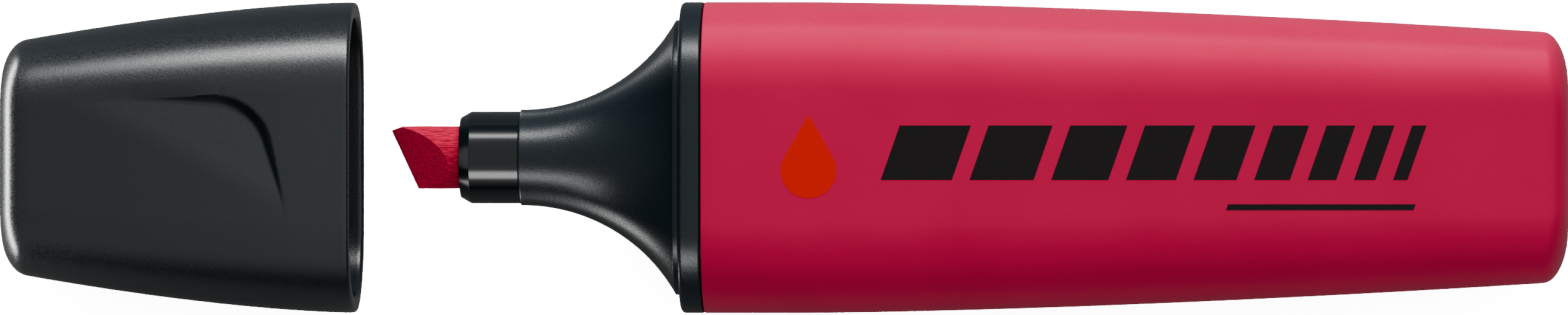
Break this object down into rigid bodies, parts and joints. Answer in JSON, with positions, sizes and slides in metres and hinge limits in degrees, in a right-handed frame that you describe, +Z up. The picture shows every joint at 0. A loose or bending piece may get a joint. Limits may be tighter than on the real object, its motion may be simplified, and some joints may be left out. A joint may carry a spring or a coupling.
{
  "type": "felt tip marker",
  "caption": "Flat chisel-tip felt marker: tapered rounded barrel, funnel front with a slanted felt nib, inner ink reservoir, and a pull-off cap with an inner seal, drawn off the nib.",
  "frame": {"origin": "on the surface that the marker lies on, in the middle of its length and width with the cap drawn off as at rest", "axes": "+X along the marker's axis from the cap towards the barrel's closed end, +Y across its width, +Z up, out of the broad face"},
  "size_m": [0.1332, 0.0264, 0.017],
  "materials": {
    "crimson_plastic": "satin moulded",
    "black_plastic": "fine spark-textured",
    "polished_black_plastic": "polished",
    "inked_felt": "compressed fibre, ink-soaked",
    "ink_fibre": "bundled fibre, ink-soaked",
    "clear_film": "clear film",
    "cap_plastic": "fine spark-textured",
    "seal_plastic": "moulded"
  },
  "bodies": {
    "marker": {"barrel": "crimson_plastic", "front_section": "black_plastic", "nib_holder": "polished_black_plastic", "nib": "inked_felt", "reservoir_core": "ink_fibre", "reservoir_film": "clear_film"},
    "cap": {"cap_shell": "cap_plastic", "cap_inner_seal": "seal_plastic"}
  },
  "joints": [
    {"name": "cap_slide", "type": "slide", "parent": "marker", "child": "cap", "axis": [1, 0, 0], "range_m": [0, 0.0276]}
  ]
}
